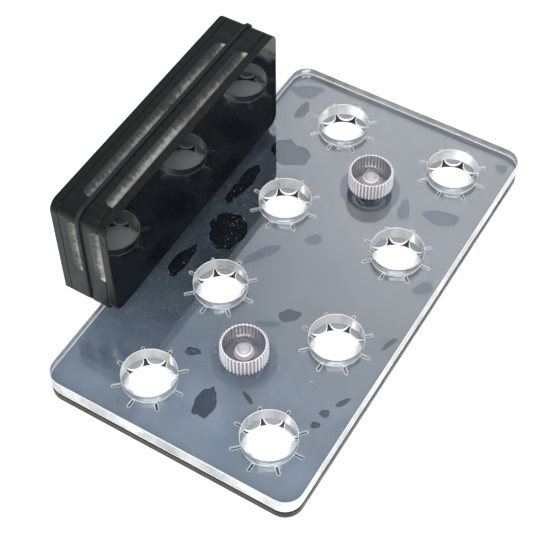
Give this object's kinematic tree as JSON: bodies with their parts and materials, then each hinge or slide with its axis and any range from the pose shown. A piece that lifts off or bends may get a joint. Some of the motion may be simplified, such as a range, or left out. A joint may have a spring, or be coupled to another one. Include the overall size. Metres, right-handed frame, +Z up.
{
  "type": "capsule filler",
  "caption": "Hand capsule filler: clear top plate over a slotted petal sheet and a black base plate, clamped by knurled thumb nuts, with a black riser block on one long side.",
  "frame": {"origin": "centre of the base plate's underside", "axes": "+X across the plates away from the riser block, +Y along the plates, +Z up"},
  "size_m": [0.1002, 0.154, 0.0501],
  "materials": {
    "black_acrylic": "polished",
    "petal_plastic": "clear flexible sheet lying on black",
    "clear_acrylic": "clear, polished",
    "screw_nylon": "natural nylon",
    "washer_nylon": "natural nylon",
    "frosted_nylon": "frosted",
    "riser_gloss": "mirror gloss",
    "riser_cut": "satin, laser cut edges",
    "riser_pad": "matte",
    "riser_back": "satin"
  },
  "bodies": {
    "base": {"base_plate": "black_acrylic", "clamp_screw_near": "screw_nylon", "clamp_screw_far": "screw_nylon"},
    "petals": {"petal_sheet": "petal_plastic"},
    "cover": {"top_plate": "clear_acrylic"},
    "washer_near": {"nut_washer_near": "washer_nylon"},
    "nut_near": {"thumb_nut_near": "frosted_nylon"},
    "washer_far": {"nut_washer_far": "washer_nylon"},
    "nut_far": {"thumb_nut_far": "frosted_nylon"},
    "riser": {"riser_front_plate": "riser_gloss", "riser_front_block": "riser_cut", "riser_pad": "riser_pad", "riser_back_block": "riser_cut", "riser_back_plate": "riser_back"}
  },
  "joints": [
    {"name": "petal_sheet_lift", "type": "slide", "parent": "base", "child": "petals", "axis": [0, 0, 1], "range_m": [0, 0.015]},
    {"name": "top_plate_lift", "type": "slide", "parent": "petals", "child": "cover", "axis": [0, 0, 1], "range_m": [0, 0.02]},
    {"name": "washer_near_rise", "type": "slide", "parent": "cover", "child": "washer_near", "axis": [0, 0, 1], "range_m": [0, 0.0042]},
    {"name": "nut_near_turn", "type": "hinge", "parent": "washer_near", "child": "nut_near", "pos_m": [0.0048, -0.0398, 0.009], "axis": [0, 0, 1], "range_deg": [0, 2165]},
    {"name": "washer_far_rise", "type": "slide", "parent": "cover", "child": "washer_far", "axis": [0, 0, 1], "range_m": [0, 0.0042]},
    {"name": "nut_far_turn", "type": "hinge", "parent": "washer_far", "child": "nut_far", "pos_m": [0.0048, 0.0398, 0.009], "axis": [0, 0, 1], "range_deg": [0, 2165]},
    {"name": "riser_lift", "type": "slide", "parent": "cover", "child": "riser", "axis": [0, 0, 1], "range_m": [0, 0.05]}
  ],
  "couplings": [
    {"joint": "nut_near_turn", "follows": "washer_near_rise", "rad_per_m": 8976},
    {"joint": "nut_far_turn", "follows": "washer_far_rise", "rad_per_m": 8976}
  ]
}
